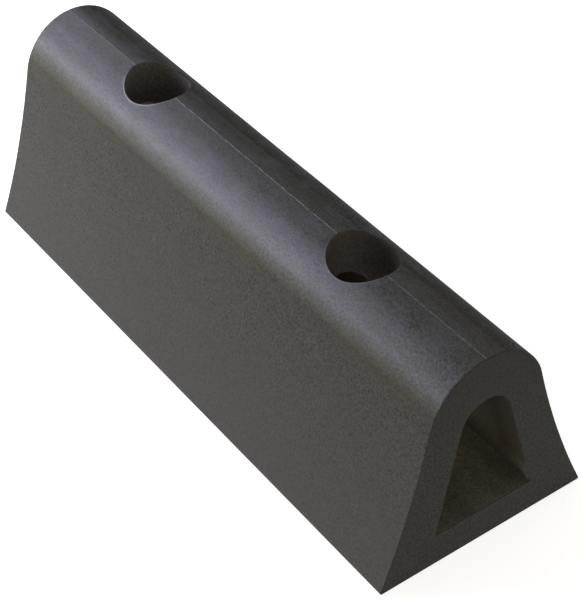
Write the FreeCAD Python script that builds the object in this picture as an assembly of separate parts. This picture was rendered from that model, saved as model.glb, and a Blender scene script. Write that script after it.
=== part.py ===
"""Hollow rubber bumper with its two lag screws and washers, in millimetres.

Frame: origin at the centre of the flat base, +X along the length, +Y across, +Z up through the nose.
The rubber is one extrusion with a bore right through it. Each screw clamps the thin base wall from
inside the bore, and goes in through an oval access hole in the nose above it.
"""
import FreeCAD, Part
import math
import os

# ---- driving dimensions ---------------------------------------------------------------------------
LENGTH = 304.8  # along X, 12 in
BASE_WIDTH = 103.2  # to the sharp corners, before they are rounded
HEIGHT = 97.2

# outer outline: a round nose, a slightly flatter shoulder, and a hollowed flank down to the base
NOSE_RADIUS = 26.2
NOSE_HALF_ANGLE = 38.0  # degrees from the top to where the shoulder starts
SHOULDER_RADIUS = 31.0
FLANK_RADIUS = 433.0
BASE_CORNER_RADIUS = 0.8

# bore: a tapered tunnel whose roof is one arc between its two leaning walls
BORE_FLOOR = 16.0  # thickness of the base wall
BORE_ROOF = 75.8
BORE_FLOOR_WIDTH = 48.2
BORE_LEAN = 13.8  # degrees that each wall leans in from upright

# fixings: two, evenly about the middle
FIXING_SPACING = 152.4  # 6 in
ACCESS_HOLE_LENGTH = 32.4
ACCESS_HOLE_WIDTH = 28.6
ACCESS_HOLE_DEPTH = 44.0  # from the crown, past the bore's roof and into its leaning walls
CLEARANCE_HOLE = 14.3  # diameter, 9/16 in, through the base wall

# 1/2 in by 3 in lag screw with a reduced shank, and the flat washer that suits it
SCREW_LENGTH = 76.2  # under the head
THREAD_LENGTH = 50.8
THREAD_DIAMETER = 12.7
SHANK_DIAMETER = 11.4
POINT_LENGTH = 9.5
HEAD_ACROSS_FLATS = 19.05
HEAD_HEIGHT = 8.7
HEAD_CHAMFER_ANGLE = 30.0  # degrees, round the top of the hexagon
WASHER_DIAMETER = 27.0
WASHER_HOLE = 13.5
WASHER_THICKNESS = 2.4

UP = FreeCAD.Vector(0, 0, 1)
ALONG = FreeCAD.Vector(1, 0, 0)


def point(y, z):
    """A point of the cross-section, at the end where the extrusion starts."""
    return FreeCAD.Vector(-LENGTH / 2, y, z)


def arc(start, middle, end):
    return Part.Arc(point(*start), point(*middle), point(*end)).toShape()


def line(start, end):
    return Part.LineSegment(point(*start), point(*end)).toShape()


def mirrored(yz):
    return (-yz[0], yz[1])


def on_circle(centre, radius, angle):
    """A point at an angle in degrees from straight up, positive towards +Y."""
    turn = math.radians(angle)
    return (centre[0] + radius * math.sin(turn), centre[1] + radius * math.cos(turn))


def extrude(edges):
    face = Part.Face(Part.Wire(Part.__sortEdges__(edges)))
    return face.extrude(ALONG * LENGTH)


def outline_points():
    """The points of the +Y half of the outer outline, from the crown to the base corner."""
    nose_centre = (0.0, HEIGHT - NOSE_RADIUS)
    shoulder_centre = on_circle(nose_centre, NOSE_RADIUS - SHOULDER_RADIUS, NOSE_HALF_ANGLE)
    corner = (BASE_WIDTH / 2, 0.0)

    # The flank's centre lies outside: one flank radius from the corner, and one flank radius plus
    # one shoulder radius from the shoulder's centre, so that the two arcs meet tangentially.
    across = (corner[0] - shoulder_centre[0], corner[1] - shoulder_centre[1])
    span = math.hypot(*across)
    reach = FLANK_RADIUS + SHOULDER_RADIUS
    along = (reach**2 - FLANK_RADIUS**2 + span**2) / (2 * span)
    aside = math.sqrt(reach**2 - along**2)
    unit = (across[0] / span, across[1] / span)
    flank_centre = (
        shoulder_centre[0] + along * unit[0] - aside * unit[1],
        shoulder_centre[1] + along * unit[1] + aside * unit[0],
    )
    turn_end = math.degrees(
        math.atan2(flank_centre[0] - shoulder_centre[0], flank_centre[1] - shoulder_centre[1])
    )
    shoulder_start = on_circle(nose_centre, NOSE_RADIUS, NOSE_HALF_ANGLE)
    shoulder_middle = on_circle(shoulder_centre, SHOULDER_RADIUS, (NOSE_HALF_ANGLE + turn_end) / 2)
    shoulder_end = on_circle(shoulder_centre, SHOULDER_RADIUS, turn_end)

    chord = ((shoulder_end[0] + corner[0]) / 2, (shoulder_end[1] + corner[1]) / 2)
    away = (chord[0] - flank_centre[0], chord[1] - flank_centre[1])
    scale = FLANK_RADIUS / math.hypot(*away)
    flank_middle = (flank_centre[0] + away[0] * scale, flank_centre[1] + away[1] * scale)
    return shoulder_start, shoulder_middle, shoulder_end, flank_middle, corner


def outer_block():
    start, middle, end, flank, corner = outline_points()
    edges = [arc(mirrored(start), (0.0, HEIGHT), start)]
    for side in (lambda yz: yz, mirrored):
        edges.append(arc(side(start), side(middle), side(end)))
        edges.append(arc(side(end), side(flank), side(corner)))
    edges.append(line(mirrored(corner), corner))
    block = extrude(edges)

    def is_base_corner(edge):
        box = edge.BoundBox
        return box.XLength > LENGTH / 2 and box.ZMax < BASE_CORNER_RADIUS

    return block.makeFillet(BASE_CORNER_RADIUS, [e for e in block.Edges if is_base_corner(e)])


def bore():
    """The tunnel. Its roof arc touches both leaning walls and the level of the roof."""
    lean = math.radians(BORE_LEAN)
    half_floor = BORE_FLOOR_WIDTH / 2
    tall = BORE_ROOF - BORE_FLOOR
    # Distance from the arc's centre to a wall equals its distance to the roof.
    radius = (half_floor * math.cos(lean) - tall * math.sin(lean)) / (1 - math.sin(lean))
    centre = (0.0, BORE_ROOF - radius)
    wall_top = on_circle(centre, radius, 90.0 - BORE_LEAN)
    floor_corner = (half_floor, BORE_FLOOR)
    return extrude(
        [
            arc(mirrored(wall_top), (0.0, BORE_ROOF), wall_top),
            line(wall_top, floor_corner),
            line(floor_corner, mirrored(floor_corner)),
            line(mirrored(floor_corner), mirrored(wall_top)),
        ]
    )


def access_hole(x):
    """An oval hole down through the nose, long way along the bumper."""
    bottom = FreeCAD.Vector(x, 0, HEIGHT - ACCESS_HOLE_DEPTH)
    long_end = bottom + ALONG * (ACCESS_HOLE_LENGTH / 2)
    short_end = bottom + FreeCAD.Vector(0, ACCESS_HOLE_WIDTH / 2, 0)
    rim = Part.Ellipse(long_end, short_end, bottom).toShape()
    return Part.Face(Part.Wire([rim])).extrude(UP * (2 * ACCESS_HOLE_DEPTH))


def cylinder(diameter, bottom, height, x):
    return Part.makeCylinder(diameter / 2, height, FreeCAD.Vector(x, 0, bottom), UP)


def rubber_bumper():
    body = outer_block().cut(bore())
    for x in FIXING_PLACES:
        body = body.cut(access_hole(x))
        body = body.cut(cylinder(CLEARANCE_HOLE, -BORE_FLOOR, 3 * BORE_FLOOR, x))
    return body


def washer(x):
    ring = cylinder(WASHER_DIAMETER, BORE_FLOOR, WASHER_THICKNESS, x)
    return ring.cut(cylinder(WASHER_HOLE, 0, 2 * BORE_FLOOR + WASHER_THICKNESS, x))


def hex_head(x, underside):
    across_corners = HEAD_ACROSS_FLATS / math.cos(math.radians(30))
    corners = [
        FreeCAD.Vector(
            x + across_corners / 2 * math.cos(math.radians(60 * i)),
            across_corners / 2 * math.sin(math.radians(60 * i)),
            underside,
        )
        for i in range(6)
    ]
    prism = Part.Face(Part.makePolygon(corners + corners[:1])).extrude(UP * HEAD_HEIGHT)
    # A shallow cone, as wide at the top as the flats, takes the six corners off.
    top = underside + HEAD_HEIGHT
    slope = math.tan(math.radians(HEAD_CHAMFER_ANGLE))
    top_radius = HEAD_ACROSS_FLATS / 2
    bottom_radius = top_radius + HEAD_HEIGHT / slope
    cone = Part.makeCone(
        bottom_radius, top_radius, HEAD_HEIGHT, FreeCAD.Vector(x, 0, top - HEAD_HEIGHT), UP
    )
    return prism.common(cone)


def lag_screw(x):
    underside = BORE_FLOOR + WASHER_THICKNESS
    thread_top = underside - (SCREW_LENGTH - THREAD_LENGTH)
    tip = underside - SCREW_LENGTH
    shank = cylinder(SHANK_DIAMETER, thread_top, underside - thread_top, x)
    thread = cylinder(THREAD_DIAMETER, tip + POINT_LENGTH, THREAD_LENGTH - POINT_LENGTH, x)
    gimlet_point = Part.makeCone(
        0, THREAD_DIAMETER / 2, POINT_LENGTH, FreeCAD.Vector(x, 0, tip), UP
    )
    return hex_head(x, underside).fuse([shank, thread, gimlet_point]).removeSplitter()


FIXING_PLACES = (-FIXING_SPACING / 2, FIXING_SPACING / 2)


def main():
    nodes = {"rubber_bumper": rubber_bumper()}
    for number, x in enumerate(FIXING_PLACES, start=1):
        nodes[f"washer_{number}"] = washer(x)
        nodes[f"lag_screw_{number}"] = lag_screw(x)
    os.makedirs("parts", exist_ok=True)
    for name, shape in nodes.items():
        solid = shape.Solids[0]
        assert len(shape.Solids) == 1 and solid.isValid(), name
        solid.exportStep(f"parts/{name}.step")
        print(f"{name}: {solid.Volume / 1000:.1f} cm3")


main()
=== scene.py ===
"""Looks for the hollow rubber bumper, its two lag screws and their washers.

Lengths are in metres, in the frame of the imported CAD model: +X along the bumper, +Z out through the
nose, origin at the centre of the base. Cross-section points are (y, z) pairs.
"""
import math

import bmesh
import bpy
import numpy as np
from mathutils import Matrix, Vector, noise


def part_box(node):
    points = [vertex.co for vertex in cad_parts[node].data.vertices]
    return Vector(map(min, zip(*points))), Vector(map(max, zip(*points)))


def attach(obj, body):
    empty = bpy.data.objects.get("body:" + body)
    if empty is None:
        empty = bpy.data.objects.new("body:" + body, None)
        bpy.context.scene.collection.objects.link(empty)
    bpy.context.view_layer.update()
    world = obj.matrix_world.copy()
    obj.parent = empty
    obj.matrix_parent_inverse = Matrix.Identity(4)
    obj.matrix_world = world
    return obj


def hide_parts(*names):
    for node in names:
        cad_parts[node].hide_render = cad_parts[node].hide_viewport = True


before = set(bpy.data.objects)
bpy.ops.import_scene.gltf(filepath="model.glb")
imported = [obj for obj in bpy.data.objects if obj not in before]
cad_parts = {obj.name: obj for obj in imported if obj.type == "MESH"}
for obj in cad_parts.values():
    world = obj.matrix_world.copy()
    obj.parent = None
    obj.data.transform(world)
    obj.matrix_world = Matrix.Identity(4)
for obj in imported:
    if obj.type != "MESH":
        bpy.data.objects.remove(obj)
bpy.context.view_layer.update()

MM = 0.001

# ---- the rubber's sizes -----------------------------------------------------------------------------
RUBBER_LOW, RUBBER_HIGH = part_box("rubber_bumper")
LENGTH = RUBBER_HIGH.x - RUBBER_LOW.x
HEIGHT = RUBBER_HIGH.z
NOSE_RADIUS = 26.2 * MM
NOSE_HALF_ANGLE = 38.0
SHOULDER_RADIUS = 31.0 * MM
FLANK_RADIUS = 433.0 * MM
BASE_CORNER_RADIUS = 0.8 * MM
BASE_HALF_WIDTH = 51.6 * MM  # to the sharp corner
BORE_FLOOR = 16.0 * MM
BORE_ROOF = 75.8 * MM
BORE_HALF_WIDTH = 24.1 * MM
BORE_LEAN = 13.8
BORE_CORNER_RADIUS = 0.7 * MM
HOLE_HALF_LENGTH = 16.2 * MM
HOLE_HALF_WIDTH = 14.3 * MM
CLEARANCE_RADIUS = 7.15 * MM
FIXINGS = {
    number: (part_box(f"washer_{number}")[0].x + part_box(f"washer_{number}")[1].x) / 2 for number in (1, 2)
}

# small things the mesh has and the CAD solid doesn't
CUT_EDGE_RADIUS = 0.3 * MM
HOLE_EDGE_RADIUS = 0.3 * MM
MOULD_LINE_Y = -1.0 * MM
MOULD_LINE_HEIGHT = 0.10 * MM
MOULD_LINE_WIDTH = 0.28 * MM

# places where the looks change
RIM_GLINT_AND_WEAR = {1: 0.9, 2: 0.3}  # how pale each access hole's rim is on its -Y side: a painted glint, with a pale worn edge
CROWN = 80 * MM, 88 * MM  # the heights where the nose's rubbed skin, with its scuff marks and painted sheen colour, begins, and where it is full
OLIVE_BAND_HEIGHT = 79 * MM  # the height of the yellow-green band: partly a stain, partly a painted warm reflection
BORE_PAINTED_LIGHT_MIDDLE = 20 * MM  # where along X the bore's painted light is strongest, so that it is palest

# ---- the washers' and screws' sizes -----------------------------------------------------------------
WASHER_HOLE_RADIUS = 6.75 * MM
THREAD_RADIUS = 6.35 * MM
ROOT_RADIUS = 4.75 * MM
SHANK_RADIUS = 5.7 * MM
THREAD_LEAD = 25.4 * MM / 6  # six turns to the inch
PLAIN_SHANK = 25.4 * MM  # from the head's underside to the top of the thread
POINT_LENGTH = 9.5 * MM
HEAD_EDGE = 0.25 * MM
HEAD_CHAMFER_SLOPE = math.tan(math.radians(30))
HEAD_CORNER = 28.6  # degrees from the middle of a flat to where the blunt corner starts
THREAD_ROWS_PER_TURN = 14

# ---- the studio -------------------------------------------------------------------------------------
FLOOR_REACH = 30.0
FLOOR_GLOW = 0.72
LIGHT_SIZE = 0.5, 0.35
LIGHT_DISTANCE = 0.85
LIGHTS_CENTRE = Vector((-0.03, 0, 0.05))
LIGHTS_AIM = Vector((0, 0, 0.05))

# ---- how finely the rubber is meshed ----------------------------------------------------------------
NOSE_PATCH_HALF = 18.0 * MM  # half width of the patch of nose that holds an access hole
BORE_PATCH_HALF = 19.0 * MM
PATCH_HALF_LENGTH = 24.0 * MM
FLOOR_PATCH_HALF = 12.0 * MM
PATCH_STEPS = 32  # along X and across, so each access hole's rim has four times as many points
FLOOR_PATCH_STEPS = 16, 12  # along X, across
END_STEPS, MIDDLE_STEPS = 20, 40
END_SUPPORT = 1.2 * MM  # two rings of points close to each cut end keep its edge crisp
SHOULDER_STEPS, FLANK_STEPS, CORNER_STEPS, BASE_SIDE_STEPS = 12, 22, 3, 6
MOULD_LINE_POINTS = [d * MM for d in (-0.6, -0.4, -0.2, 0.0, 0.2, 0.4, 0.6)]  # across the line
MOULD_LINE_MARGIN = 1.2 * MM
ROUNDING = [math.radians(a) for a in (22.5, 45.0, 67.5, 90.0)]  # the rings of a rounded edge


# ---- cross-sections ---------------------------------------------------------------------------------
def on_circle(centre, radius, angle):
    """A point at an angle in degrees from straight up, positive towards +Y."""
    turn = math.radians(angle)
    return np.array([centre[0] + radius * math.sin(turn), centre[1] + radius * math.cos(turn)])


def arc(centre, radius, first, last, steps):
    return [on_circle(centre, radius, a) for a in np.linspace(first, last, steps + 1)]


def straight(first, last, steps):
    first, last = np.asarray(first), np.asarray(last)
    return [first + (last - first) * t for t in np.linspace(0, 1, steps + 1)]


def rounded_corner(corner, before, after, radius, steps):
    """Points of a small arc that rounds a corner between the directions of its two neighbours."""
    a, b = np.asarray(before) - corner, np.asarray(after) - corner
    a, b = a / np.linalg.norm(a), b / np.linalg.norm(b)
    half = math.acos(np.clip(a @ b, -1, 1)) / 2
    centre = corner + (a + b) / np.linalg.norm(a + b) * radius / math.sin(half)
    start, end = corner + a * radius / math.tan(half), corner + b * radius / math.tan(half)
    points = []
    for t in np.linspace(0, 1, steps + 1):
        spoke = (start - centre) * (1 - t) + (end - centre) * t
        points.append(centre + spoke * radius / np.linalg.norm(spoke))
    return points


def mirrored(points):
    """The same points on the other side of the middle, in the opposite order."""
    return [np.array([-p[0], p[1]]) for p in reversed(points)]


class Outline:
    """The rubber's outer cross-section: nose arc, shoulder arcs, hollowed flanks and flat base."""

    nose_centre = (0.0, HEIGHT - NOSE_RADIUS)
    shoulder_centre = on_circle(nose_centre, NOSE_RADIUS - SHOULDER_RADIUS, NOSE_HALF_ANGLE)
    corner = np.array([BASE_HALF_WIDTH, 0.0])
    # The flank's centre lies outside: one flank radius from the corner, and one flank radius plus one
    # shoulder radius from the shoulder's centre, so that the two arcs meet tangentially.
    across = corner - shoulder_centre
    span = np.linalg.norm(across)
    reach = FLANK_RADIUS + SHOULDER_RADIUS
    along = (reach**2 - FLANK_RADIUS**2 + span**2) / (2 * span)
    aside = math.sqrt(reach**2 - along**2)
    unit = across / span
    flank_centre = shoulder_centre + along * unit + aside * np.array([-unit[1], unit[0]])
    turn_end = math.degrees(math.atan2(*(flank_centre - shoulder_centre)))
    nose_end_y = NOSE_RADIUS * math.sin(math.radians(NOSE_HALF_ANGLE))

    @classmethod
    def height(cls, y):
        """How high the nose or the shoulder is at y."""
        y = abs(y)
        if y <= cls.nose_end_y:
            return cls.nose_centre[1] + math.sqrt(NOSE_RADIUS**2 - y**2)
        return cls.shoulder_centre[1] + math.sqrt(SHOULDER_RADIUS**2 - (y - cls.shoulder_centre[0]) ** 2)

    @classmethod
    def loop(cls):
        """Closed loop from the nose patch's -Y side over the nose, down +Y, along the base, and up -Y."""
        side = NOSE_PATCH_HALF
        beside = (PATCH_STEPS - len(MOULD_LINE_POINTS) - 1) // 2
        ys = [
            *np.linspace(-side, MOULD_LINE_Y - MOULD_LINE_MARGIN, beside + 1),
            *(MOULD_LINE_Y + d for d in MOULD_LINE_POINTS),
            *np.linspace(MOULD_LINE_Y + MOULD_LINE_MARGIN, side, beside + 1),
        ]
        nose = [np.array([y, cls.height(y)]) for y in ys]
        patch_angle = math.degrees(math.asin((side - cls.shoulder_centre[0]) / SHOULDER_RADIUS))
        shoulder = arc(cls.shoulder_centre, SHOULDER_RADIUS, patch_angle, cls.turn_end, SHOULDER_STEPS)
        low = cls.corner - cls.flank_centre
        low_angle = math.degrees(math.atan2(low[0], low[1])) % 360
        flank_start = (cls.turn_end + 180) % 360
        flank = arc(cls.flank_centre, FLANK_RADIUS, flank_start, low_angle, FLANK_STEPS)
        corner = rounded_corner(cls.corner, flank[-2], (0, 0), BASE_CORNER_RADIUS, CORNER_STEPS)
        base = straight(corner[-1], (FLOOR_PATCH_HALF, 0), BASE_SIDE_STEPS)
        half = shoulder[1:] + flank[1:-1] + corner + base[1:]
        floor = straight((FLOOR_PATCH_HALF, 0), (-FLOOR_PATCH_HALF, 0), FLOOR_PATCH_STEPS[1])
        return np.array(nose + half + floor[1:-1] + mirrored(half))


class Bore:
    """The bore's cross-section: one arc for its roof, two leaning walls and a flat floor."""

    lean = math.radians(BORE_LEAN)
    tall = BORE_ROOF - BORE_FLOOR
    # The arc's centre is as far from each wall as it is from the roof.
    radius = (BORE_HALF_WIDTH * math.cos(lean) - tall * math.sin(lean)) / (1 - math.sin(lean))
    centre = (0.0, BORE_ROOF - radius)

    @classmethod
    def height(cls, y):
        """How high the roof or the leaning wall is at y."""
        y = abs(y)
        if y <= cls.radius * math.cos(cls.lean):
            return cls.centre[1] + math.sqrt(cls.radius**2 - y**2)
        return BORE_FLOOR + (BORE_HALF_WIDTH - y) / math.tan(cls.lean)

    @classmethod
    def loop(cls):
        """Closed loop with as many points as the outline's, and in the same order."""
        quarter = PATCH_STEPS // 4
        side = np.array([BORE_PATCH_HALF, cls.height(BORE_PATCH_HALF)])
        wall_top = on_circle(cls.centre, cls.radius, 90 - BORE_LEAN)
        roof = arc(cls.centre, cls.radius, BORE_LEAN - 90, 90 - BORE_LEAN, 2 * quarter)
        wall = straight(wall_top, side, quarter)
        corner = np.array([BORE_HALF_WIDTH, BORE_FLOOR])
        turn = rounded_corner(corner, side, (0, BORE_FLOOR), BORE_CORNER_RADIUS, CORNER_STEPS)
        low_wall = straight(side, turn[0], SHOULDER_STEPS + FLANK_STEPS)
        edge = (FLOOR_PATCH_HALF, BORE_FLOOR)
        half = low_wall[1:-1] + turn + straight(turn[-1], edge, BASE_SIDE_STEPS)[1:]
        floor = straight(edge, (-edge[0], edge[1]), FLOOR_PATCH_STEPS[1])
        return np.array(mirrored(wall)[:-1] + roof + wall[1:] + half + floor[1:-1] + mirrored(half))


def outward_normals(loop, sign):
    """Unit normals of a closed loop, on its left for +1 and on its right for -1."""
    along = np.roll(loop, -1, axis=0) - np.roll(loop, 1, axis=0)
    normals = np.column_stack([-along[:, 1], along[:, 0]]) * sign
    return normals / np.linalg.norm(normals, axis=1)[:, None]


# ---- building a mesh from grids of points -----------------------------------------------------------
class Grid:
    """Collects points and faces, nearly all four-sided. Rows are lists of point numbers."""

    def __init__(self):
        self.points = []
        self.faces = []
        self.kinds = []

    def row(self, points):
        first = len(self.points)
        self.points.extend(tuple(p) for p in points)
        return list(range(first, len(self.points)))

    def bridge(self, one, other, kind, closed=True):
        count = len(one)
        for i in range(count if closed else count - 1):
            j = (i + 1) % count
            self.faces.append((one[i], one[j], other[j], other[i]))
            self.kinds.append(kind)

    def bridge_all(self, rows, kind, closed=True):
        for one, other in zip(rows, rows[1:]):
            self.bridge(one, other, kind, closed)

    def fan(self, row, point, kind):
        """Closes a ring with a point in its middle."""
        middle = self.row([point])[0]
        for i in range(len(row)):
            self.faces.append((row[i], row[(i + 1) % len(row)], middle))
            self.kinds.append(kind)

    def make(self, name, materials):
        mesh = bpy.data.meshes.new(name)
        mesh.from_pydata(self.points, [], self.faces)
        for material in materials:
            mesh.materials.append(material)
        mesh.polygons.foreach_set("material_index", self.kinds)
        mesh.polygons.foreach_set("use_smooth", [True] * len(self.faces))
        work = bmesh.new()
        work.from_mesh(mesh)
        bmesh.ops.recalc_face_normals(work, faces=work.faces)
        work.to_mesh(mesh)
        work.free()
        mesh.validate()
        made = bpy.data.objects.new(name, mesh)
        bpy.context.scene.collection.objects.link(made)
        return made


def smooth_noise(point, size, seed=0.0):
    """Even noise from -1 to 1 with bumps of about this size."""
    return noise.noise(Vector(point) / size + Vector((seed, 2 * seed, -seed)))


# ---- the rubber -------------------------------------------------------------------------------------
SKIN, CUT, INSIDE = 0, 1, 2


def stations():
    """The places along X that have a ring of points, and at which of them each fixing's patch starts."""
    inner_end = LENGTH / 2 - CUT_EDGE_RADIUS
    left, right = sorted(FIXINGS.values())
    reach = PATCH_HALF_LENGTH
    xs = [-inner_end, -inner_end + END_SUPPORT / 2]
    xs += list(np.linspace(-inner_end + END_SUPPORT, left - reach, END_STEPS + 1))
    starts = [len(xs) - 1]
    xs += list(np.linspace(left - reach, left + reach, PATCH_STEPS + 1))[1:]
    xs += list(np.linspace(left + reach, right - reach, MIDDLE_STEPS + 1))[1:]
    starts.append(len(xs) - 1)
    xs += list(np.linspace(right - reach, right + reach, PATCH_STEPS + 1))[1:]
    xs += list(np.linspace(right + reach, inner_end - END_SUPPORT, END_STEPS + 1))[1:]
    xs += [inner_end - END_SUPPORT / 2, inner_end]
    return np.array(xs), starts


def patch_border(ids, i0, i1, j0, j1):
    """Point numbers round a rectangle of a grid, from the corner at i1, j0, up that side first."""
    return (
        [ids[i1][j] for j in range(j0, j1)]
        + [ids[i][j1] for i in range(i1, i0, -1)]
        + [ids[i0][j] for j in range(j1, j0, -1)]
        + [ids[i][j0] for i in range(i0, i1)]
    )


def rim_angles(across, nx):
    """An angle on an access hole's rim for each border point. Near the mould line the grid's lines run
    straight into the rim, and further out they close up a little."""
    squeeze = 14.75 * MM
    side = [math.asin(squeeze * math.tanh(y / squeeze) / HOLE_HALF_WIDTH) for y in across]
    corner = side[-1]
    top = list(np.linspace(corner, math.pi - corner, nx + 1))
    bottom = list(np.linspace(math.pi - side[0], 2 * math.pi + side[0], nx + 1))
    return side[:-1] + top[:-1] + [math.pi - a for a in reversed(side)][:-1] + bottom[:-1]


def ellipse(x, angles, grow=0.0):
    """Points of an access hole's outline, or of one that stands this much outside it."""
    half_length, half_width = HOLE_HALF_LENGTH + grow, HOLE_HALF_WIDTH + grow
    return [(half_length * math.cos(a) + x, half_width * math.sin(a)) for a in angles]


def patch_rings(grid, border, rim, height, spacing, kind):
    """Fills between a patch's border and the ring of points rim, on the surface given by height(y)."""
    inner = np.array([grid.points[i] for i in rim])[:, :2]
    outer = np.array([grid.points[i] for i in border])[:, :2]
    rows = [rim]
    for t in spacing:
        flat = inner * (1 - t) + outer * t
        rows.append(grid.row([(x, y, height(y)) for x, y in flat]))
    grid.bridge_all(rows + [border], kind)


def mould_line(x, y):
    """How far the mould line stands up at a point of the nose."""
    strength = 1.0 + 0.35 * smooth_noise((x, 0, 0), 14 * MM, 3.0)
    return MOULD_LINE_HEIGHT * strength * math.exp(-(((y - MOULD_LINE_Y) / MOULD_LINE_WIDTH) ** 2))


def swept(grid, loop, xs, skipped, kind):
    """A tube through all stations, with no faces where skipped(i, j) says there's a patch."""
    ids = [grid.row([(x, y, z) for y, z in loop]) for x in xs]
    count = len(loop)
    for i in range(len(xs) - 1):
        for j in range(count):
            if not skipped(i, j):
                k = (j + 1) % count
                grid.faces.append((ids[i][j], ids[i][k], ids[i + 1][k], ids[i + 1][j]))
                grid.kinds.append(kind)
    return ids


def end_face(grid, sign, outer, inner, outer_ids, inner_ids):
    """A knife-cut end: the outline's and the bore's edges rounded over, and the flat between them."""
    outer_out, inner_out = outward_normals(outer, 1), outward_normals(inner, 1)
    rows = [outer_ids]

    def ring(section, depth):
        x = sign * (LENGTH / 2 - CUT_EDGE_RADIUS * (1 - depth))
        return grid.row([(x, y, z) for y, z in section])

    for a in ROUNDING:
        inset = CUT_EDGE_RADIUS * (1 - math.cos(a))
        rows.append(ring(outer - outer_out * inset, math.sin(a)))
    flat_outer = outer - outer_out * CUT_EDGE_RADIUS
    flat_inner = inner + inner_out * CUT_EDGE_RADIUS
    for t in (0.04, 0.12, 0.25, 0.4, 0.6, 0.75, 0.88, 0.96):
        rows.append(ring(flat_outer * (1 - t) + flat_inner * t, 1.0))
    for a in reversed(ROUNDING):
        inset = CUT_EDGE_RADIUS * (1 - math.cos(a))
        rows.append(ring(inner + inner_out * inset, math.sin(a)))
    grid.bridge_all(rows[:3], SKIN)
    grid.bridge_all(rows[2:] + [inner_ids], CUT)


def access_hole(grid, x, nose_border, bore_border):
    """An oval hole from the nose down into the bore, with a rounded rim at the top."""
    across = [grid.points[i][1] for i in nose_border[: PATCH_STEPS + 1]]
    angles = rim_angles(across, PATCH_STEPS)
    rows = []
    for a in [0.0] + ROUNDING:
        drop = HOLE_EDGE_RADIUS * (1 - math.cos(a))
        flat = ellipse(x, angles, HOLE_EDGE_RADIUS * (1 - math.sin(a)))
        rows.append(grid.row([(px, py, Outline.height(py) - drop) for px, py in flat]))
    patch_rings(grid, nose_border, rows[0], Outline.height, (0.05, 0.14, 0.27, 0.44, 0.62, 0.81), SKIN)
    flat = ellipse(x, angles)
    top = [Outline.height(py) - HOLE_EDGE_RADIUS for _, py in flat]
    bottom = [Bore.height(py) for _, py in flat]
    for t in (0.06, 0.2, 0.35, 0.5, 0.65, 0.8, 0.94, 1.0):
        rows.append(
            grid.row([(px, py, high + (low - high) * t) for (px, py), high, low in zip(flat, top, bottom)])
        )
    rounding = len(ROUNDING) + 1
    grid.bridge_all(rows[:rounding], SKIN)
    grid.bridge_all(rows[rounding - 1 :], INSIDE)
    patch_rings(grid, bore_border, rows[-1], Bore.height, (0.08, 0.2, 0.34, 0.5, 0.66, 0.83), INSIDE)


def clearance_hole(grid, x, base_border, floor_border):
    """The round hole through the base wall that a screw's shank passes."""
    nx, ny = FLOOR_PATCH_STEPS
    right = list(np.linspace(math.pi / 4, -math.pi / 4, ny + 1))
    bottom = list(np.linspace(-math.pi / 4, -3 * math.pi / 4, nx + 1))
    left = list(np.linspace(-3 * math.pi / 4, -5 * math.pi / 4, ny + 1))
    top = list(np.linspace(-5 * math.pi / 4, -7 * math.pi / 4, nx + 1))
    angles = right[:-1] + bottom[:-1] + left[:-1] + top[:-1]
    rows = [
        grid.row([(x + CLEARANCE_RADIUS * math.cos(a), CLEARANCE_RADIUS * math.sin(a), z) for a in angles])
        for z in np.linspace(0, BORE_FLOOR, 6)
    ]
    grid.bridge_all(rows, CUT)
    patch_rings(grid, base_border, rows[0], lambda y: 0.0, (0.15, 0.4, 0.7), SKIN)
    patch_rings(grid, floor_border, rows[-1], lambda y: BORE_FLOOR, (0.15, 0.4, 0.7), INSIDE)


def weather_rubber(made):
    """Moves the rubber's points a little: slow waves in the skin, nibbled cut edges, the mould line.
    The flat base stays as it is."""
    mesh = made.data
    mesh.update()
    normals = [v.normal.copy() for v in mesh.vertices]
    for v, normal in zip(mesh.vertices, normals):
        p = v.co.copy()
        if p.z < 1.0 * MM:
            continue
        slow, fine = smooth_noise((p.x * 0.5, p.y, p.z), 22 * MM), smooth_noise(p, 6 * MM, 5.0)
        wave = 0.10 * slow + 0.035 * fine
        from_end = LENGTH / 2 - abs(p.x)
        on_cut_face, on_cut_edge = from_end < 0.1 * MM, from_end < CUT_EDGE_RADIUS
        if on_cut_face:
            v.co.x += math.copysign(0.10 * MM, p.x) * (smooth_noise(p, 9 * MM, 1.0) - 0.6)
            wave *= 0.3
        elif on_cut_edge:
            wave += 0.14 * smooth_noise(p, 2.5 * MM, 8.0) - 0.05
        v.co += normal * wave * MM
        near_mould_line = abs(p.y - MOULD_LINE_Y) < MOULD_LINE_MARGIN + 0.1 * MM
        if near_mould_line and p.z > HEIGHT - 1 * MM and normal.z > 0.9:
            v.co.z += mould_line(p.x, p.y)
    mesh.update()


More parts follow.
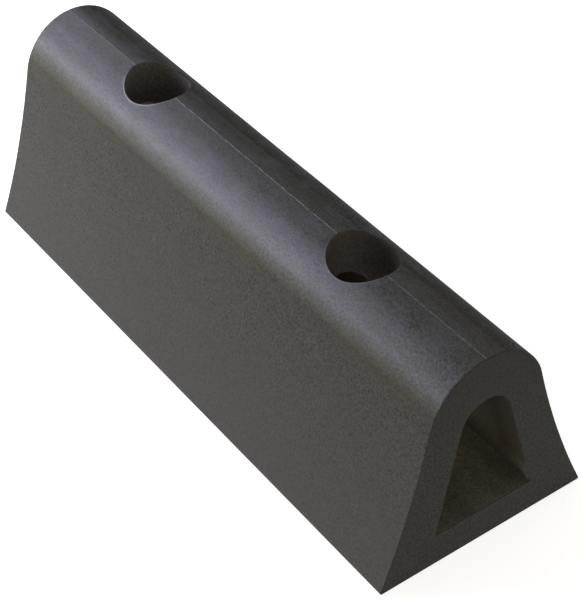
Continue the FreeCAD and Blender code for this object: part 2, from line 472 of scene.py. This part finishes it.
def rubber_bumper(materials):
    grid = Grid()
    xs, starts = stations()
    outer, inner = Outline.loop(), Bore.loop()
    assert len(outer) == len(inner)
    # which of the loops' steps cross the base wall where the clearance holes are
    base_first = PATCH_STEPS + SHOULDER_STEPS + FLANK_STEPS + CORNER_STEPS + BASE_SIDE_STEPS
    base_last = base_first + FLOOR_PATCH_STEPS[1]
    floor_reach = FLOOR_PATCH_STEPS[0] // 2

    def in_patch(i, j):
        """Whether a face of the grid is where a fixing's access hole or clearance hole goes."""
        for start in starts:
            middle = start + PATCH_STEPS // 2
            if start <= i < start + PATCH_STEPS and j < PATCH_STEPS:
                return True
            if middle - floor_reach <= i < middle + floor_reach and base_first <= j < base_last:
                return True
        return False

    outer_ids = swept(grid, outer, xs, in_patch, SKIN)
    inner_ids = swept(grid, inner, xs, in_patch, INSIDE)
    end_face(grid, -1, outer, inner, outer_ids[0], inner_ids[0])
    end_face(grid, 1, outer, inner, outer_ids[-1], inner_ids[-1])
    for start, x in zip(starts, sorted(FIXINGS.values())):
        nose = patch_border(outer_ids, start, start + PATCH_STEPS, 0, PATCH_STEPS)
        roof = patch_border(inner_ids, start, start + PATCH_STEPS, 0, PATCH_STEPS)
        access_hole(grid, x, nose, roof)
        middle = start + PATCH_STEPS // 2
        first, last = middle - floor_reach, middle + floor_reach
        base = patch_border(outer_ids, first, last, base_first, base_last)
        floor = patch_border(inner_ids, first, last, base_first, base_last)
        clearance_hole(grid, x, base, floor)
    made = grid.make("rubber_skin", materials)
    drop_loose_points(made)
    weather_rubber(made)
    sharpen(made, 40)
    return made


def drop_loose_points(made):
    """Deletes the points of the rings that lie inside a patch, which no face uses."""
    work = bmesh.new()
    work.from_mesh(made.data)
    bmesh.ops.delete(work, geom=[v for v in work.verts if not v.link_faces], context="VERTS")
    work.to_mesh(made.data)
    work.free()


def sharpen(made, degrees):
    """Marks the edges that turn by more than this as sharp, so that only the others shade smoothly."""
    work = bmesh.new()
    work.from_mesh(made.data)
    for edge in work.edges:
        edge.smooth = len(edge.link_faces) == 2 and edge.calc_face_angle() < math.radians(degrees)
    work.to_mesh(made.data)
    work.free()


# ---- the washers and screws -------------------------------------------------------------------------
def washer(number, material):
    """A punched flat washer: its upper edges are rolled over and its lower ones are nearly sharp."""
    low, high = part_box(f"washer_{number}")
    x = FIXINGS[number]
    inner, outer = WASHER_HOLE_RADIUS, (high.x - low.x) / 2
    upper, lower = 0.5 * MM, 0.15 * MM
    section = [
        *arc((inner + lower, low.z + lower), lower, 180, 270, 2),
        *arc((inner + upper, high.z - upper), upper, 270, 360, 4),
        *arc((outer - upper, high.z - upper), upper, 0, 90, 4),
        *arc((outer - lower, low.z + lower), lower, 90, 180, 2),
    ]
    columns = 72
    grid = Grid()
    rows = []
    for i in range(columns):
        a = 2 * math.pi * i / columns
        rows.append(grid.row([(x + r * math.cos(a), r * math.sin(a), z) for r, z in section]))
    grid.bridge_all(rows + rows[:1], 0)
    made = grid.make(f"washer_{number}_plated", [material])
    sharpen(made, 50)
    return made


def thread_surface(height, angle):
    """Distance from the axis to the thread's root, and how far the thread stands out from it there.
    height is measured up from the tip of the screw's point."""
    turns = height / THREAD_LEAD - angle / (2 * math.pi)
    crest_width, crest_flat = 0.27, 0.82
    crest = max(0.0, 1.0 - abs(turns % 1.0 - 0.5) / crest_width)
    crest = min(crest, crest_flat) / crest_flat
    point = min(1.0, height / POINT_LENGTH)
    root = ROOT_RADIUS * point**0.85
    top = THREAD_RADIUS * min(1.0, 0.25 + point)
    top = max(root, min(top, root + (THREAD_RADIUS - ROOT_RADIUS)))
    return root, (top - root) * crest


def lag_screw(number, material):
    """A hex lag screw: chamfered head, plain shank, and a coarse thread that runs out at both ends."""
    low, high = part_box(f"lag_screw_{number}")
    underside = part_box(f"washer_{number}")[1].z
    x = FIXINGS[number]
    across_flats = high.y - low.y
    thread_top = underside - PLAIN_SHANK
    edge = HEAD_EDGE
    grid = Grid()

    # Columns of points: three close together at each corner of the hexagon, five across each flat.
    from_corner = (-1.8, 0.0, 1.8, 8.0, 17.0, 30.0, 43.0, 52.0)
    angles = [math.radians(60 * side + a) for side in range(6) for a in from_corner]

    def ring(radius, z):
        """A ring of points. radius and z are numbers, or functions of the angle."""
        points = []
        for a in angles:
            r = radius(a) if callable(radius) else radius
            h = z(a) if callable(z) else z
            points.append((x + r * math.cos(a), r * math.sin(a), h))
        return grid.row(points)

    def thread(z, a):
        """Distance from the axis to the thread, which fades out where it meets the plain shank."""
        root, rise = thread_surface(z - low.z, a)
        run_out = np.clip((thread_top - z) / (0.8 * THREAD_LEAD), 0, 1)
        neck = np.clip((z - thread_top + 0.3 * THREAD_LEAD) / (0.3 * THREAD_LEAD), 0, 1)
        return root + (SHANK_RADIUS - root) * neck + rise * run_out

    def hexagon(a):
        """Distance from the axis to the hexagon's side, a little less at its corners."""
        off_flat = (math.degrees(a) % 60) - 30
        full = across_flats / 2 / math.cos(math.radians(off_flat))
        return min(full, across_flats / 2 / math.cos(math.radians(HEAD_CORNER)))

    rows = []
    thread_rows = int((thread_top - low.z) / (THREAD_LEAD / THREAD_ROWS_PER_TURN))
    for z in np.linspace(low.z, thread_top, thread_rows + 1)[1:]:
        rows.append(ring(lambda a, z=z: thread(z, a), z))
    for z in np.linspace(thread_top, underside - 1.2 * MM, 8)[1:]:
        rows.append(ring(SHANK_RADIUS, z))
    fillet = 1.0 * MM
    for a in np.linspace(0, 90, 5)[1:]:
        turn = math.radians(a)
        radius = SHANK_RADIUS + fillet * (1 - math.cos(turn))
        rows.append(ring(radius, underside - fillet * (1 - math.sin(turn))))
    rows.append(ring(lambda a: 0.93 * hexagon(a), underside))
    rows.append(ring(lambda a: hexagon(a) - edge, underside))
    rows.append(ring(lambda a: hexagon(a) - edge * 0.3, underside + edge * 0.3))
    rows.append(ring(hexagon, underside + edge))

    flat_radius = across_flats / 2 * 0.95

    def shoulder(a):
        """How high the chamfer cuts the hexagon's side."""
        return high.z - (hexagon(a) - flat_radius) * HEAD_CHAMFER_SLOPE

    rows.append(ring(hexagon, lambda a: underside + edge + (shoulder(a) - underside - edge) * 0.5))
    rows.append(ring(hexagon, lambda a: shoulder(a) - edge))
    rows.append(ring(lambda a: hexagon(a) - edge * 0.3, lambda a: shoulder(a) - edge * 0.2))
    rows.append(ring(lambda a: hexagon(a) - edge, lambda a: shoulder(a) + edge * HEAD_CHAMFER_SLOPE))
    rows.append(ring(flat_radius + edge, high.z - edge * HEAD_CHAMFER_SLOPE))
    rows.append(ring(flat_radius - edge, high.z))
    rows.append(ring(flat_radius * 0.9, high.z))
    rows.append(ring(flat_radius * 0.45, high.z - 0.08 * MM))
    grid.bridge_all(rows, 0)
    grid.fan(rows[0], (x, 0, low.z), 0)
    grid.fan(rows[-1], (x, 0, high.z - 0.1 * MM), 0)
    made = grid.make(f"lag_screw_{number}_threaded", [material])
    sharpen(made, 55)
    return made


# ---- materials --------------------------------------------------------------------------------------
class Nodes:
    """A short way to write a material's node tree."""

    def __init__(self, name):
        self.material = bpy.data.materials.new(name)
        self.material.use_nodes = True
        self.tree = self.material.node_tree
        self.shader = self.tree.nodes["Principled BSDF"]

    def add(self, kind, inputs=None, **settings):
        node = self.tree.nodes.new(kind)
        for key, value in settings.items():
            setattr(node, key, value)
        for key, value in (inputs or {}).items():
            self.put(node.inputs[key], value)
        return node

    def put(self, socket, value):
        if isinstance(value, bpy.types.NodeSocket):
            self.tree.links.new(value, socket)
        else:
            socket.default_value = value

    def math(self, operation, one, two=0.0):
        return self.add("ShaderNodeMath", {0: one, 1: two}, operation=operation).outputs[0]

    def off(self, value, middle):
        """How far a value is from a middle, either way."""
        return self.math("ABSOLUTE", self.math("SUBTRACT", value, middle))

    def times(self, *values):
        product = values[0]
        for value in values[1:]:
            product = self.math("MULTIPLY", product, value)
        return product

    def xyz(self):
        return self.add("ShaderNodeSeparateXYZ", {"Vector": self.place()}).outputs

    def place(self, stretch=(1, 1, 1)):
        """Positions in the object's own frame, in metres, times a stretch."""
        where = self.add("ShaderNodeTexCoord").outputs["Object"]
        scaled = self.add("ShaderNodeVectorMath", operation="MULTIPLY")
        self.put(scaled.inputs[0], where)
        scaled.inputs[1].default_value = stretch
        return scaled.outputs[0]

    def noise(self, size, detail=3.0, stretch=(1, 1, 1), roughness=0.55):
        """Noise with features of about this size, in metres, as a value from 0 to 1."""
        inputs = {"Vector": self.place(stretch), "Scale": 1 / size}
        inputs.update({"Detail": detail, "Roughness": roughness})
        return self.add("ShaderNodeTexNoise", inputs).outputs[0]

    def band(self, value, low, high, to_low=0.0, to_high=1.0):
        """value from low..high, taken to to_low..to_high and held there."""
        inputs = {0: value, 1: low, 2: high, 3: to_low, 4: to_high}
        return self.add("ShaderNodeMapRange", inputs, clamp=True).outputs[0]

    def blend(self, share, one, two):
        node = self.add("ShaderNodeMix", data_type="RGBA")
        self.put(node.inputs[0], share)
        for socket, colour in ((node.inputs[6], one), (node.inputs[7], two)):
            self.put(socket, colour if isinstance(colour, bpy.types.NodeSocket) else (*colour, 1.0))
        return node.outputs[2]

    def bump(self, height, distance, strength=1.0, under=None):
        node = self.add("ShaderNodeBump", {"Height": height, "Distance": distance, "Strength": strength})
        if under is not None:
            self.put(node.inputs["Normal"], under)
        return node.outputs[0]

    def shade(self, **inputs):
        for key, value in inputs.items():
            name = key.replace("_", " ")
            self.put(self.shader.inputs[name], (*value, 1.0) if isinstance(value, tuple) else value)
        return self.material


def oval_distance(n, x, y, fixing):
    """Distance from an access hole's axis, where the hole's own rim is at 1."""
    along = n.math("DIVIDE", n.math("SUBTRACT", x, FIXINGS[fixing]), HOLE_HALF_LENGTH)
    across = n.math("DIVIDE", y, HOLE_HALF_WIDTH)
    return n.math("SQRT", n.math("ADD", n.math("POWER", along, 2.0), n.math("POWER", across, 2.0)))


def skin_marks_and_painted_light(n, colour, x, y, z):
    """Lays over a colour, lowest first: a paler tone towards the base, pale scuff marks on the crown tinted
    blue as a painted sheen, a yellow-green band under the shoulder that is partly a stain and partly a
    painted warm reflection, the mould line, and a painted glint with a pale worn edge on each access hole's
    rim.
    """
    # Paler towards the base.
    paler_towards_base = n.band(z, 0.0, 75 * MM, 0.5, 0.0)
    colour = n.blend(paler_towards_base, colour, (0.110, 0.107, 0.100))

    # Pale scuff marks on the crown, tinted blue: partly scuff marks, partly a painted sheen.
    scuff_sheen_noise = n.noise(7 * MM, detail=5.0, stretch=(0.5, 1, 1), roughness=0.7)
    scuffs_and_sheen = n.times(n.band(scuff_sheen_noise, 0.48, 0.72, 0.0, 0.6), n.band(z, *CROWN))
    colour = n.blend(scuffs_and_sheen, colour, (0.105, 0.105, 0.118))

    # A yellow-green band under the shoulder: partly a stain, partly a painted warm reflection, strongest on
    # the -Y side and at the far end.
    olive_patches = n.noise(16 * MM, detail=3.0, stretch=(0.6, 1, 1), roughness=0.6)
    olive_stain_and_reflection = n.times(
        n.band(n.off(z, OLIVE_BAND_HEIGHT), 1.5 * MM, 7 * MM, 0.9, 0.0),
        n.band(olive_patches, 0.4, 0.65, 0.3, 1.0),
        n.band(y, -5 * MM, 10 * MM, 1.0, 0.3),
        n.band(x, -100 * MM, 60 * MM, 1.0, 0.45),
    )
    colour = n.blend(olive_stain_and_reflection, colour, (0.076, 0.076, 0.045))

    broken = n.noise(4 * MM, detail=5.0, stretch=(1, 0, 0), roughness=0.7)
    line = n.times(
        n.band(n.off(y, MOULD_LINE_Y), 0.12 * MM, 0.32 * MM, 1.0, 0.0),
        n.band(z, HEIGHT - 3 * MM, HEIGHT - 2 * MM),
        n.band(broken, 0.38, 0.62),
        n.band(n.off(x, 0.0), 60 * MM, 110 * MM, 1.0, 0.55),
    )
    colour = n.blend(line, colour, (0.34, 0.32, 0.31))

    # A painted glint, with a pale worn edge, on the -Y side of each access hole's rim.
    lit_side = n.band(y, -11 * MM, -4 * MM, 1.0, 0.0)
    for fixing, rim_paleness in RIM_GLINT_AND_WEAR.items():
        rim = n.band(oval_distance(n, x, y, fixing), 1.01, 1.06, rim_paleness, 0.0)
        colour = n.blend(n.times(rim, lit_side), colour, (0.40, 0.39, 0.38))
    return colour


def skin_material():
    """Extruded rubber: charcoal with a fine mottle and faint draw lines along X. Its nose has a sheen
    where it is rubbed, on the -Y side, and the rest is matt."""
    n = Nodes("rubber_skin")
    x, y, z = n.xyz()
    mottle = n.noise(1.0 * MM, detail=2.0, roughness=0.65)
    patches = n.noise(28 * MM, detail=3.0)
    draw_lines = n.noise(1.6 * MM, detail=2.0, stretch=(0.02, 1, 1))
    colour = n.blend(n.band(mottle, 0.35, 0.65), (0.031, 0.0305, 0.0255), (0.080, 0.0785, 0.067))
    colour = n.blend(n.band(patches, 0.35, 0.7, 0.0, 0.45), colour, (0.060, 0.058, 0.050))
    colour = n.blend(n.band(draw_lines, 0.55, 0.8, 0.0, 0.25), colour, (0.078, 0.077, 0.074))
    colour = skin_marks_and_painted_light(n, colour, x, y, z)

    on_crown = n.band(z, *CROWN)
    rubbed = n.band(y, 2.5 * MM, 9 * MM, 0.5, 0.005)
    even_rough = n.math(
        "ADD", n.band(patches, 0.3, 0.7, 0.30, 0.36), n.band(mottle, 0.35, 0.65, -0.04, 0.05)
    )
    rough = n.math("ADD", even_rough, n.band(n.times(on_crown, rubbed), 0.0, 0.5, 0.15, 0.0))
    sheen = n.times(n.band(on_crown, 0.0, 1.0, 0.12, 1.0), rubbed, n.band(mottle, 0.35, 0.65, 0.80, 1.20))
    grain = n.bump(n.noise(0.55 * MM, detail=2.0), 0.10 * MM, 0.6)
    normal = n.bump(draw_lines, 0.12 * MM, 0.35, grain)
    return n.shade(Base_Color=colour, Roughness=rough, Normal=normal, Specular_IOR_Level=sheen)


def cut_material():
    """Rubber cut with a wet knife: darker, with fine drag lines and small torn pits."""
    n = Nodes("rubber_cut")
    z = n.xyz()[2]
    mottle = n.noise(1.2 * MM, detail=5.0, roughness=0.8)
    drag = n.noise(0.9 * MM, detail=2.0, stretch=(1, 0.08, 1))
    colour = n.blend(n.band(mottle, 0.38, 0.62), (0.003, 0.0029, 0.0024), (0.037, 0.036, 0.031))
    colour = n.blend(n.band(drag, 0.55, 0.8, 0.0, 0.3), colour, (0.040, 0.039, 0.036))
    # Darker towards the top of the cut face: painted shade.
    colour = n.blend(n.band(z, 55 * MM, 90 * MM, 0.0, 0.35), colour, (0.008, 0.0078, 0.0068))
    pits = n.bump(n.noise(0.7 * MM, detail=3.0), 0.14 * MM, 0.7)
    normal = n.bump(drag, 0.16 * MM, 0.5, pits)
    rough = n.band(mottle, 0.3, 0.7, 0.55, 0.7)
    return n.shade(Base_Color=colour, Roughness=rough, Normal=normal, Specular_IOR_Level=0.15)


def inside_material():
    """The walls of the bore and of the access holes: brownish, with dust of the release agent on the bore's
    floor.
    Much of their colour is painted light and shade: paler deep in the bore, at the foot of its walls and
    low in the access holes, and darker high up near the mouths, high in the access holes and towards the -X
    end."""
    n = Nodes("rubber_bore")
    x, y, z = n.xyz()
    from_middle = n.off(x, BORE_PAINTED_LIGHT_MIDDLE)
    # Painted light: the bore's walls are paler deep inside, where little light reaches, than by its mouths.
    wall = n.blend(n.band(from_middle, 85 * MM, 120 * MM), (0.42, 0.36, 0.27), (0.072, 0.061, 0.040))
    # Painted shade on the walls' upper part near each mouth.
    shade_high_by_mouth = n.times(n.band(z, 36 * MM, 60 * MM, 0.0, 0.45), n.band(from_middle, 72 * MM, 95 * MM))
    wall = n.blend(shade_high_by_mouth, wall, (0.050, 0.042, 0.030))

    # Painted light and shade in the access holes: paler low down and in the hole at -X, darker high up.
    hole = n.blend(n.band(z, 60 * MM, 90 * MM), (0.33, 0.28, 0.25), (0.070, 0.060, 0.056))
    hole = n.blend(n.band(x, -60 * MM, 60 * MM, 0.60, 0.15), hole, (0.30, 0.265, 0.24))
    # The access holes' painted light carries on down the bore's wall below each hole.
    for fixing in FIXINGS:
        inside = n.band(oval_distance(n, x, y, fixing), 1.02, 1.05, 1.0, 0.0)
        wall = n.blend(n.times(inside, n.band(z, 54 * MM, 56 * MM)), wall, hole)

    dust = n.noise(12 * MM, detail=5.0, stretch=(0.35, 1, 1))
    floor_dust = n.blend(n.band(dust, 0.35, 0.7), (0.120, 0.112, 0.084), (0.195, 0.185, 0.142))
    above_floor = n.band(z, BORE_FLOOR + 0.2 * MM, BORE_FLOOR + 1.5 * MM)
    dust_and_painted_light = n.blend(above_floor, floor_dust, (0.20, 0.18, 0.147))
    # Painted light: the floor is paler deep in the bore.
    dust_and_painted_light = n.blend(n.band(from_middle, 80 * MM, 120 * MM, 0.6, 0.0), dust_and_painted_light, (0.33, 0.29, 0.21))
    # Painted light fills the shade where the walls meet the floor, with some dust there too.
    foot_dust_and_painted_light = n.band(z, BORE_FLOOR + 2.0 * MM, BORE_FLOOR + 14.0 * MM, 1.0, 0.0)
    colour = n.blend(foot_dust_and_painted_light, wall, dust_and_painted_light)
    # Painted shade: darker towards the bore's -X mouth, where the lamps shine in.
    colour = n.blend(n.band(x, -120 * MM, -60 * MM, 0.65, 0.0), colour, (0.034, 0.030, 0.022))

    grain = n.noise(1.1 * MM, detail=4.0, roughness=0.8)
    colour = n.blend(n.band(grain, 0.4, 0.62, 0.5, 0.0), colour, (0.016, 0.014, 0.012))
    colour = n.blend(n.band(grain, 0.58, 0.75, 0.0, 0.3), colour, (0.20, 0.19, 0.17))
    draw_lines = n.noise(1.8 * MM, detail=2.0, stretch=(0.02, 1, 1))
    normal = n.bump(draw_lines, 0.15 * MM, 0.6)
    return n.shade(Base_Color=colour, Roughness=0.72, Normal=normal, Specular_IOR_Level=0.2)


def plated_material():
    """Bright zinc plating: clear grey, slightly iridescent, with dull patches and fine scratches."""
    n = Nodes("zinc_plating")
    patches = n.noise(5 * MM, detail=3.0)
    fine = n.noise(0.35 * MM, detail=2.0)
    scratches = n.noise(0.5 * MM, detail=1.0, stretch=(1, 0.05, 1))
    colour = n.blend(n.band(patches, 0.35, 0.65), (0.60, 0.62, 0.65), (0.68, 0.67, 0.62))
    rough = n.math("ADD", n.band(patches, 0.3, 0.7, 0.24, 0.36), n.band(scratches, 0.6, 0.75, 0.0, 0.12))
    normal = n.bump(fine, 0.02 * MM, 0.5)
    return n.shade(Base_Color=colour, Metallic=1.0, Roughness=rough, Normal=normal)


# ---- stage ------------------------------------------------------------------------------------------
def floor():
    """A pale floor that glows evenly, so that it stays white all round the rubber."""
    grid = Grid()
    ticks = np.linspace(-FLOOR_REACH, FLOOR_REACH, 9)
    just_below = -0.1 * MM
    rows = [grid.row([(x, y, just_below) for x in ticks]) for y in ticks]
    grid.bridge_all(rows, 0, closed=False)
    white = Nodes("pale_floor").shade(
        Base_Color=(0.85, 0.85, 0.85),
        Roughness=0.9,
        Emission_Color=(1.0, 1.0, 1.0),
        Emission_Strength=FLOOR_GLOW,
    )
    grid.make("floor", [white])


def soft_light(name, way, power, colour, distance=LIGHT_DISTANCE):
    """A soft rectangular light in the direction way, aimed at the rubber."""
    data = bpy.data.lights.new(name, "AREA")
    data.shape = "RECTANGLE"
    data.size, data.size_y = LIGHT_SIZE
    data.energy = power
    data.color = colour
    lamp = bpy.data.objects.new(name, data)
    lamp.location = LIGHTS_CENTRE + Vector(way).normalized() * distance
    lamp.rotation_euler = (LIGHTS_AIM - lamp.location).to_track_quat("-Z", "Y").to_euler()
    bpy.context.scene.collection.objects.link(lamp)


def lights():
    soft_light("far_end", (-0.65, -0.75, 0.10), 1.18, (1.0, 0.99, 0.90), 0.51)
    soft_light("key", (-0.60, -0.66, 0.38), 1.65, (0.76, 0.755, 1.0))
    soft_light("upper", (-0.63, -0.40, 0.64), 1.45, (0.74, 0.73, 1.0))
    soft_light("far_key", (-0.82, -0.42, 0.38), 0.55, (0.8, 0.8, 1.0))
    soft_light("far_upper", (-0.88, 0.08, 0.55), 1.1, (0.78, 0.77, 1.0))
    soft_light("front", (0.95, -0.15, 0.35), 1.15, (1.0, 0.92, 0.7))
    soft_light("rear", (0.12, 0.95, 0.26), 0.7, (1.0, 0.99, 0.93))


def studio():
    """The air around: dim near the horizon and brighter overhead, but white where it is seen directly."""
    world = bpy.data.worlds.new("studio")
    world.use_nodes = True
    nodes, link = world.node_tree.nodes, world.node_tree.links.new
    background = nodes["Background"]
    background.inputs["Color"].default_value = (1.0, 1.0, 1.0, 1.0)
    upward = nodes.new("ShaderNodeSeparateXYZ")
    link(nodes.new("ShaderNodeTexCoord").outputs["Generated"], upward.inputs[0])
    ramp = nodes.new("ShaderNodeMapRange")
    horizon, overhead, dim, bright = 0.1, 0.7, 0.02, 0.30
    for socket, value in zip(list(ramp.inputs)[1:5], (horizon, overhead, dim, bright)):
        socket.default_value = value
    link(upward.outputs[2], ramp.inputs[0])
    brightest = nodes.new("ShaderNodeMath")
    brightest.operation = "MAXIMUM"
    link(ramp.outputs[0], brightest.inputs[0])
    link(nodes.new("ShaderNodeLightPath").outputs["Is Camera Ray"], brightest.inputs[1])
    link(brightest.outputs[0], background.inputs["Strength"])
    bpy.context.scene.world = world
    bpy.context.scene.view_settings.view_transform = "Standard"


def camera():
    """Looks down along the bumper from its +X end and -Y side, tipped a few degrees."""
    azimuth, elevation, roll = math.radians(56.9), math.radians(41.13), math.radians(-3.27)
    distance = 831.3 * MM
    aim = Vector((0, 14.8 * MM, 12.1 * MM))
    back = Vector(
        (
            math.sin(azimuth) * math.cos(elevation),
            -math.cos(azimuth) * math.cos(elevation),
            math.sin(elevation),
        )
    )
    data = bpy.data.cameras.new("camera")
    data.lens = 110.5
    data.sensor_width = 36.0
    made = bpy.data.objects.new("camera", data)
    turn = (-back).to_track_quat("-Z", "Y").to_matrix() @ Matrix.Rotation(roll, 3, "Z")
    made.matrix_world = Matrix.Translation(aim + back * distance) @ turn.to_4x4()
    bpy.context.scene.collection.objects.link(made)
    bpy.context.scene.camera = made


# ---- putting it together ----------------------------------------------------------------------------
camera()
lights()
studio()
floor()

rubber = rubber_bumper([skin_material(), cut_material(), inside_material()])
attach(rubber, "bumper")
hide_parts("rubber_bumper")

plating = plated_material()
for fixing in FIXINGS:
    plate = washer(fixing, plating)
    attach(plate, f"fixing_{fixing}")
    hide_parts(f"washer_{fixing}")
    screw = lag_screw(fixing, plating)
    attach(screw, f"screw_{fixing}")
    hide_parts(f"lag_screw_{fixing}")
